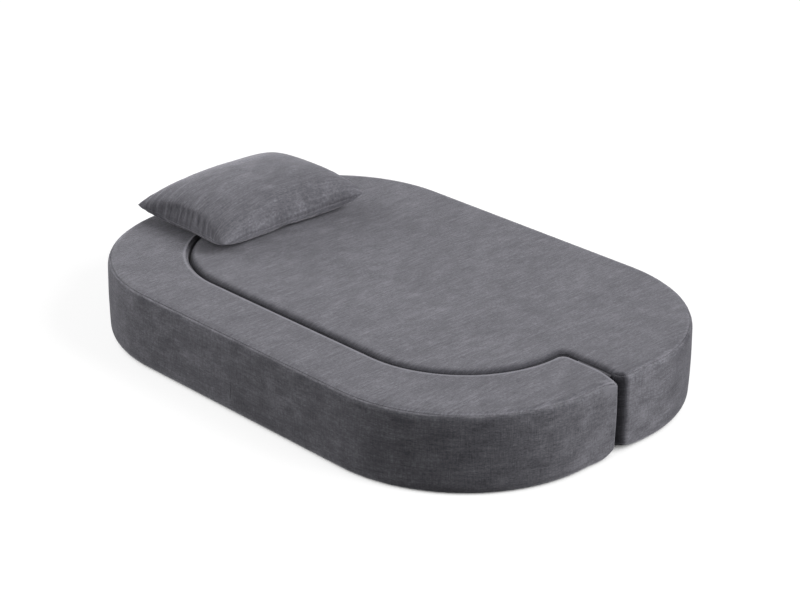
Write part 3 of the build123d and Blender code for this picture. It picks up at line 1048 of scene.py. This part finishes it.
# pillow
pillow = {
    "cutWide": 0.450,
    "cutLong": 0.606,
    "cell": 0.0068,
    "halfX": 0.213,
    "halfY": 0.297,
    "drawn": 0.0165,
    "crown": 0.095,
    "belly": 0.056,
    "place": (-0.668, 0.022),
    "turn": 0.5,
    "pressure": 1.4,
    "frames": 20,
    "cap": 0.012,
    # fullness: powers across, to the front and back end, and of the whole; the crown's shift
    "full": (2.7, 2.2, 3.5, 0.45),
    "shift": 0.10,
    # drop of the seam at the corners, front left first, then anticlockwise
    "seamDrop": (-0.002, 0.008, -0.002, 0.004),
    "seamSag": 0.012,
    "pleat": 0.0019,
    "pleatGap": 0.028,
    # the ends pleat more and further in than the sides; at the front, at the back, along the sides
    "pleatReach": (0.062, 0.036, 0.032),
    "pleatShare": (1.0, 0.6, 0.25),
    # the underside is pressed flat: how softly, and how much lower
    "press": (0.010, 0.002),
    "rest": 0.0008,
    "wall": 0.0015,
    "fibre": (0.955, 0.968, 0.92),  # size of the filling inside the cover
    "fill": 0.6,
}


def pillowHeight(x, y, p):
    # share of the crown at a place of the flat cloth
    across, front, rear, whole = p["full"]
    y = y - p["shift"] * (1 - y * y)
    return max(0.0, (1 - abs(x) ** across) * (1 - abs(y) ** (front if y < 0 else rear))) ** whole


def pillowBag(p):
    # two cut layers that share their edge, as cut and as filled
    nx, ny = round(p["cutWide"] / p["cell"]), round(p["cutLong"] / p["cell"])
    flat, full, lookup, spans = [], [], {}, []
    for side in (1, -1):
        for i in range(nx + 1):
            for j in range(ny + 1):
                edge = i in (0, nx) or j in (0, ny)
                if edge and side < 0:
                    lookup[side, i, j] = lookup[1, i, j]
                    continue
                u, v = i / nx * 2 - 1, j / ny * 2 - 1
                cutX, cutY = 1 - 0.040 * abs(v) ** 18, 1 - 0.030 * abs(u) ** 13  # rounded corners
                lookup[side, i, j] = len(flat)
                wide, long = u * p["cutWide"] / 2 * cutX, v * p["cutLong"] / 2 * cutY
                flat.append(Vector((wide, long, side * 0.0005)))
                x = u * (p["halfX"] - p["drawn"] * (1 - v * v) * abs(u)) * cutX
                y = v * (p["halfY"] - p["drawn"] * (1 - u * u) * abs(v)) * cutY
                tall = p["crown"] if side > 0 else p["belly"] * 1.08
                full.append(Vector((x, y, side * tall * pillowHeight(u, v, p))))
                spans.append((u, v))
    faces = {1: [], -1: []}
    for side in (1, -1):
        for i in range(nx):
            for j in range(ny):
                corners = ((i, j), (i + 1, j), (i + 1, j + 1), (i, j + 1))[::side]
                faces[side].append(tuple(lookup[side, *c] for c in corners))
    return flat, full, spans, faces


def inflate(obj, flat, p):
    # the bag swells from its filled shape, with the cloth as long as it was cut
    obj.shape_key_add(name="filled")
    cut = obj.shape_key_add(name="cut")
    cut.data.foreach_set("co", [c for v in flat for c in v])
    cut.value = 0
    cloth = obj.modifiers.new("cloth", "CLOTH")
    c = cloth.settings
    c.quality = 6
    c.mass = 0.3
    c.tension_stiffness = c.compression_stiffness = 20
    c.shear_stiffness = 8
    c.bending_stiffness = 0.5
    c.use_pressure = True
    c.uniform_pressure_force = p["pressure"]
    c.effector_weights.gravity = 0
    c.rest_shape_key = cut
    cloth.collision_settings.use_collision = False
    cloth.point_cache.frame_start = 1
    cloth.point_cache.frame_end = p["frames"]
    for f in range(1, p["frames"] + 1):
        scene.frame_set(f)
    grown = obj.evaluated_get(bpy.context.evaluated_depsgraph_get())
    co = np.zeros(len(obj.data.vertices) * 3)
    grown.data.vertices.foreach_get("co", co)
    obj.modifiers.remove(cloth)
    scene.frame_set(1)
    return co.reshape(-1, 3)


def cornerWays(co, faces):
    # outward direction at every corner of the bag
    quads = np.array(faces)
    ways = np.zeros_like(co)
    turn = np.cross(co[quads[:, 2]] - co[quads[:, 0]], co[quads[:, 3]] - co[quads[:, 1]])
    for c in range(4):
        np.add.at(ways, quads[:, c], turn)
    return ways / np.maximum(np.linalg.norm(ways, axis=1), 1e-12)[:, None]


def pleat(co, u, v, ways, p):
    # pleats run in from the seam, with shallow dents between them
    front, back, side = p["pleatReach"]
    frontShare, backShare, sideShare = p["pleatShare"]
    for k, (x, y, z) in enumerate(co):
        toX, toY = (1 - abs(u[k])) * p["halfX"], (1 - abs(v[k])) * p["halfY"]
        reach, share = (front, frontShare) if v[k] < 0 else (back, backShare)
        endLong = reach * (1 + 0.7 * wave(x / 0.035, v[k], 4.4))
        sideLong = side * (1 + 0.7 * wave(y / 0.045, u[k], 6.4))
        wander = wave(x / 0.07, y / 0.12, 2.2) * 0.016
        ends = math.cos(math.tau * (x + wander) / p["pleatGap"])
        sides = math.cos(math.tau * (y + wander) / (1.3 * p["pleatGap"]))
        ends *= bell(toY, 0, endLong) * share
        sides *= bell(toX, 0, sideLong) * sideShare
        dents = wave(x / 0.10, y / 0.12, 5.2) * 0.9 + wave(x / 0.045, y / 0.05, 9.2) * 0.25
        loose = 0.3 + 0.7 * min(1.0, min(toX, toY) / 0.012)
        push = p["pleat"] * (ends + sides + dents * loose) * (1 if z > -0.01 else 0.4)
        co[k] += ways[k] * push * loose


def settlePillow(co, start, spans, faces, p):
    # caps the swelling, pleats the ends and lays the pillow on the bed
    moved = co - start
    far = np.linalg.norm(moved, axis=1)
    print("pillow moved by", far.mean().round(4), "most", far.max().round(4))
    co = start + moved * np.minimum(1, p["cap"] / np.maximum(far, 1e-9))[:, None]
    co[:, 0] *= p["halfX"] / np.abs(co[:, 0]).max()
    co[:, 1] *= p["halfY"] / np.abs(co[:, 1]).max()
    over = co[:, 2] > 0
    co[over, 2] *= p["crown"] / co[:, 2].max()
    co[~over, 2] *= 1.15 * p["belly"] / -co[:, 2].min()
    u, v = np.array(spans).T
    frontLeft, frontRight, backRight, backLeft = p["seamDrop"]
    front = frontLeft * (1 - u) + frontRight * (1 + u)
    back = backLeft * (1 - u) + backRight * (1 + u)
    drop = (front * (1 - v) + back * (1 + v)) / 4
    drop = drop + p["seamSag"] * ((1 - v * v) * np.abs(u) ** 4 + (1 - u * u) * np.abs(v) ** 4)
    co[:, 2] -= drop * np.maximum(np.abs(u) ** 3, np.abs(v) ** 3)
    pleat(co, u, v, cornerWays(co, faces), p)
    soft, lower = p["press"]
    low, rest = -p["belly"], bed["height"] + p["rest"]
    z = low + soft * np.log1p(np.exp((co[:, 2] - low) / soft)) - lower + rest - low
    a = math.radians(p["turn"])
    x = co[:, 0] * math.cos(a) - co[:, 1] * math.sin(a) + p["place"][0]
    y = co[:, 0] * math.sin(a) + co[:, 1] * math.cos(a) + p["place"][1]
    return np.column_stack((x, y, np.maximum(z, rest)))


bagFlat, bagFull, bagSpans, bagFaces = pillowBag(pillow)
bagWeave = flatWeave(bagFlat)
allFaces = bagFaces[1] + bagFaces[-1]
bag = clothMesh("pillow_bag", bagFull, allFaces, bagWeave, pillowCloth)
startShape = np.array([tuple(p) for p in bagFull])
blown = inflate(bag, bagFlat, pillow)
settled = settlePillow(blown, startShape, bagSpans, allFaces, pillow)
bpy.data.objects.remove(bag)


def pillowPanel(name, side, node):
    # one layer of the pillow's cover, with its own wall thickness
    used = sorted({i for f in bagFaces[side] for i in f})
    renamed = {old: new for new, old in enumerate(used)}
    points = [Vector(settled[i]) for i in used]
    weave = [bagWeave[i] for i in used]
    faces = [tuple(renamed[i] for i in f) for f in bagFaces[side]]
    obj = clothMesh(name, points, faces, weave, pillowCloth)
    rounder = obj.modifiers.new("rounder", "SUBSURF")
    rounder.levels = rounder.render_levels = 1
    thicken(obj, pillow["wall"])
    dress(obj, "pillow", node)


pillowPanel("pillow_top_cloth", 1, "pillow_top_panel")
pillowPanel("pillow_bottom_cloth", -1, "pillow_bottom_panel")
middle = np.array([*pillow["place"], bed["height"] + pillow["rest"] + pillow["belly"]])
fibrePoints = [Vector((q - middle) * np.array(pillow["fibre"]) + middle) for q in settled]
fibre = clothMesh("pillow_fibre", fibrePoints, allFaces, bagWeave, fibreFill)
dress(fibre, "pillow", "pillow_fill")
print("pillow done")

# hinge strips
strips = {
    "long": 0.120,
    "thickness": 0.0012,
    "rows": 32,
    "steps": 18,
    "tuck": 0.0016,  # how far under the edge seam a strip starts
    # where the seat's and the bolster's end hang down to, beside the cut's middle and below the top
    "seatPull": (0.006, 0.015),
    "bolsterPull": (0.0045, 0.011),
    "crease": 0.0006,
}


def bakedMesh(obj):
    # the finished mesh, with its modifiers applied and removed
    bpy.context.view_layer.update()
    ready = obj.evaluated_get(bpy.context.evaluated_depsgraph_get())
    made = bpy.data.meshes.new_from_object(ready)
    obj.modifiers.clear()
    return made


def hingeStrip(name, side, node):
    # folded cloth that hangs between the two edge seams
    middleX = side * (bed["halfLength"] - bed["bolsterWidth"] / 2)
    share = 1 - math.cos(math.radians(45))
    rows, steps, tuck = strips["rows"], strips["steps"], strips["tuck"]
    points, weave = [], []
    for i in range(rows + 1):
        x = middleX + (i / rows - 0.5) * strips["long"]
        ends, pulls = [], []
        for edgeOf, way, pull in ((seatEdge, 1, "seatPull"), (bolsterEdge, -1, "bolsterPull")):
            reach, drop = edgeOf(Vector((x, way * bed["cutFace"])))
            y = way * (bed["cutFace"] + reach * share + tuck)
            ends.append(Vector((x, y, bed["height"] - drop * share - tuck)))
            pulls.append(Vector((x, way * strips[pull][0], bed["height"] - strips[pull][1])))
        for j in range(steps + 1):
            t = j / steps
            spot = (
                ends[0] * (1 - t) ** 3
                + pulls[0] * 3 * t * (1 - t) ** 2
                + pulls[1] * 3 * t * t * (1 - t)
                + ends[1] * t**3
            )
            spot.z += strips["crease"] * wave(x / 0.012, t * 3, side) * math.sin(math.pi * t)
            points.append(soften(spot, "seat" if t < 0.5 else "bolster"))
            weave.append((spot.y, x))
    # the faces are turned over, to look up
    faces = [(f[0], *f[:0:-1]) for f in gridFaces(rows + 1, steps + 1, False)]
    obj = clothMesh(name, points, faces, weave, hingeShadeCloth, strips["thickness"])
    obj.data = bakedMesh(obj)
    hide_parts(node)
    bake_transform(obj)


hingeStrip("hinge_strip_cloth_left", -1, "hinge_strip_left")
hingeStrip("hinge_strip_cloth_right", 1, "hinge_strip_right")
print("hinge strips done")


# repeated small pieces, by geometry nodes
def repeaterTree(name, onPath):
    # puts a shape along a path at an even spacing, or on every point of a mesh
    tree = bpy.data.node_groups.new(name, "GeometryNodeTree")
    face, nodes, links = tree.interface, tree.nodes, tree.links
    sockets = [("Geometry", "Geometry"), ("Shape", "Object"), ("Finish", "Material")]
    for label, kind in sockets + [("Spacing", "Float")] * onPath:
        face.new_socket(label, in_out="INPUT", socket_type="NodeSocket" + kind)
    face.new_socket("Geometry", in_out="OUTPUT", socket_type="NodeSocketGeometry")
    entry, leave = nodes.new("NodeGroupInput"), nodes.new("NodeGroupOutput")
    kinds = ("ObjectInfo", "InstanceOnPoints", "RealizeInstances", "SetMaterial")
    info, instance, real, finish = (nodes.new("GeometryNode" + kind) for kind in kinds)
    points = entry.outputs["Geometry"]
    if onPath:
        toPoints = nodes.new("GeometryNodeCurveToPoints")
        toPoints.mode = "LENGTH"
        links.new(points, toPoints.inputs["Curve"])
        links.new(entry.outputs["Spacing"], toPoints.inputs["Length"])
        links.new(toPoints.outputs["Rotation"], instance.inputs["Rotation"])
        points = toPoints.outputs["Points"]
    links.new(points, instance.inputs["Points"])
    links.new(entry.outputs["Shape"], info.inputs["Object"])
    links.new(info.outputs["Geometry"], instance.inputs["Instance"])
    links.new(instance.outputs["Instances"], real.inputs["Geometry"])
    links.new(real.outputs["Geometry"], finish.inputs["Geometry"])
    links.new(entry.outputs["Finish"], finish.inputs["Material"])
    links.new(finish.outputs["Geometry"], leave.inputs["Geometry"])
    return tree


alongPath = repeaterTree("alongPath", True)
onPoints = repeaterTree("onPoints", False)


def runNodes(carrier, tree, values, name):
    # evaluates the tree and keeps a plain mesh
    mod = carrier.modifiers.new("nodes", "NODES")
    mod.node_group = tree
    for item in tree.interface.items_tree:
        if item.item_type == "SOCKET" and item.in_out == "INPUT" and item.name in values:
            mod[item.identifier] = values[item.name]
    made = bakedMesh(carrier)
    made.name = name
    bpy.data.objects.remove(carrier)
    return addObject(name, made)


def repeatAlong(name, line, shape, spacing, material):
    data = bpy.data.curves.new(name + "_path", "CURVE")
    data.dimensions = "3D"
    data.twist_mode = "Z_UP"
    spline = data.splines.new("POLY")
    spline.points.add(len(line) - 1)
    spline.points.foreach_set("co", [c for p in line for c in (*p, 1)])
    values = {"Shape": shape, "Spacing": spacing, "Finish": material}
    return runNodes(addObject(name + "_path", data), alongPath, values, name)


def shapeMesh(name, points, faces):
    obj = addObject(name, smoothMesh(name, points, faces))
    obj.hide_render = True
    return obj


def grain(name, along, across, axis, rings, sides=6):
    # a short closed spindle along X, Y or Z; rings are shares of its length and width
    points, count = [], len(rings)
    for k in range(sides):
        a = math.tau * k / sides
        for t, w in rings:
            c = (t * along / 2, math.cos(a) * across / 2 * w, math.sin(a) * across / 2 * w)
            points.append([c[(i - axis) % 3] for i in range(3)])
    start = [k * count for k in range(sides)]
    faces = gridFaces(sides, count, True) + [start[::-1], [i + count - 1 for i in start]]
    return shapeMesh(name, points, faces)


threads = {
    "spacing": 0.0052,
    "long": 0.0030,
    "thick": 0.0007,
    "step": 0.006,
    "rings": ((-1, 0.25), (-0.7, 0.8), (0, 1), (0.7, 0.8), (1, 0.25)),
}
stitchShape = grain("stitchShape", threads["long"], threads["thick"], 2, threads["rings"])


def seamThreads(block):
    # stitches down in the top seam's groove
    path, edgeOf, _ = blocks[block]
    sink = skin["seam"][0]
    line = []
    for s in path.stops(0, path.long, threads["step"]):
        p, out = path.at(s)
        line.append(place(p, out, "top", 45, sink, edgeOf(p), block)[0])
    name = block + "_seam_threads"
    obj = repeatAlong(name, line, stitchShape, threads["spacing"], threadMaterial)
    dress(obj, block, None)


seamThreads("seat")
seamThreads("bolster")
print("seam threads done")

# zips: tape, coil teeth
teeth = {
    "pitch": 0.0016,
    "loop": 0.0052,
    "thick": 0.001425,
    "depth": -0.0012,
    "clear": 0.0055,  # from the slot's ends
    "step": 0.004,
    "rings": ((-1, 0.3), (-0.86, 0.9), (-0.4, 0.8), (0, 1.25), (0.4, 0.8), (0.86, 0.9), (1, 0.3)),
}
tapes = {"width": 0.030, "thickness": 0.0008, "depth": -0.0024, "step": 0.006, "rows": 13}
toothShape = grain("toothShape", teeth["loop"], teeth["thick"], 1, teeth["rings"])


def zipTape(block, slot, z):
    path = blocks[block][0]
    stops = path.stops(*slot, tapes["step"])
    levels = np.linspace(-0.5, 0.5, tapes["rows"]) * tapes["width"]
    points, weave = [], []
    for s in stops:
        p, out = path.at(s)
        for level in levels:
            points.append(Vector((*(p + out * tapes["depth"]), z + level)))
            weave.append((level, s))
    faces = gridFaces(len(stops), len(levels), False)
    name = block + "_zip_tape_cloth"
    obj = clothMesh(name, points, faces, weave, tapeCloth, tapes["thickness"])
    dress(obj, block, block + "_zip_tape")


def zipCoil(block, slot, z):
    path = blocks[block][0]
    line = []
    for s in path.stops(slot[0] + teeth["clear"], slot[1] - teeth["clear"], teeth["step"]):
        p, out = path.at(s)
        line.append((*(p + out * teeth["depth"]), z))
    obj = repeatAlong(block + "_zip_coil", line, toothShape, teeth["pitch"], coilMaterial)
    dress(obj, block, block + "_zip_chain")


for block, slot, z in (("seat", seatSlot, seatZip["z"]), ("bolster", bolsterSlot, bolsterZip["z"])):
    zipTape(block, slot, z)
    zipCoil(block, slot, z)
for node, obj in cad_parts.items():
    if "_zip_" in node and not obj.hide_render:
        obj.data.materials.clear()
        obj.data.materials.append(metalMaterial)
        edge = obj.modifiers.new("softEdge", "BEVEL")
        edge.width = 0.0002
        edge.segments = 2
        edge.limit_method = "ANGLE"
print("zips done")

# grip dots under the seat
dots = {
    "spacing": 0.022,
    "wide": 0.004,
    "high": 0.0007,
    "rings": ((1.0, 0.0), (0.92, 0.45), (0.6, 0.85)),  # shares of the width and the height
    "tip": 0.95,
    "sides": 8,
    "from": (-0.93, -0.62),
    "field": (1.9, 1.3),
    "margin": 0.032,  # to the outline, then to the lifted corners
    "clear": 0.02,
    "level": 0.0007,
}


def gripDotShape(d):
    points, sides, count = [], d["sides"], len(d["rings"])
    for k in range(sides):
        a = -math.tau * k / sides
        for w, t in d["rings"]:
            r = d["wide"] / 2 * w
            points.append((math.cos(a) * r, math.sin(a) * r, -t * d["high"]))
    points.append((0, 0, -d["tip"] * d["high"]))
    start = [k * count for k in range(sides)]
    rim = [i + count - 1 for i in start]
    faces = gridFaces(sides, count, True) + [start[::-1]]
    faces += [(a, b, sides * count) for a, b in zip(rim, rim[1:] + rim[:1])]
    return shapeMesh("gripDotShape", points, faces)


def dotPlaces(d):
    stops = seatPath.stops(0, seatPath.long, 0.02)[:-1]
    polygon = np.array([tuple(p - out * d["margin"]) for p, out in map(seatPath.at, stops)])
    (left, front), (long, deep) = d["from"], d["field"]
    gap, rise = d["spacing"], d["spacing"] * 0.866
    spots = [
        (left + (c + 0.5 * (r % 2)) * gap, front + r * rise)
        for r in range(int(deep / rise))
        for c in range(int(long / gap))
    ]
    clear = bed["seatCorner"][0] + d["clear"]
    return [
        (x, y, d["level"])
        for (x, y), inside in zip(spots, insideRing(np.array(spots), polygon)[0])
        if inside and math.hypot(abs(x) - bed["halfLength"], y - bed["cutFace"]) > clear
    ]


dotSpots = addObject("dotSpots", smoothMesh("dotSpots", dotPlaces(dots), []))
values = {"Shape": gripDotShape(dots), "Finish": dotMaterial}
dress(runNodes(dotSpots, onPoints, values, "seat_grip_dots"), "seat", None)
print("grip dots done")

for shape in ("stitchShape", "toothShape", "gripDotShape"):
    bpy.data.objects.remove(bpy.data.objects[shape])
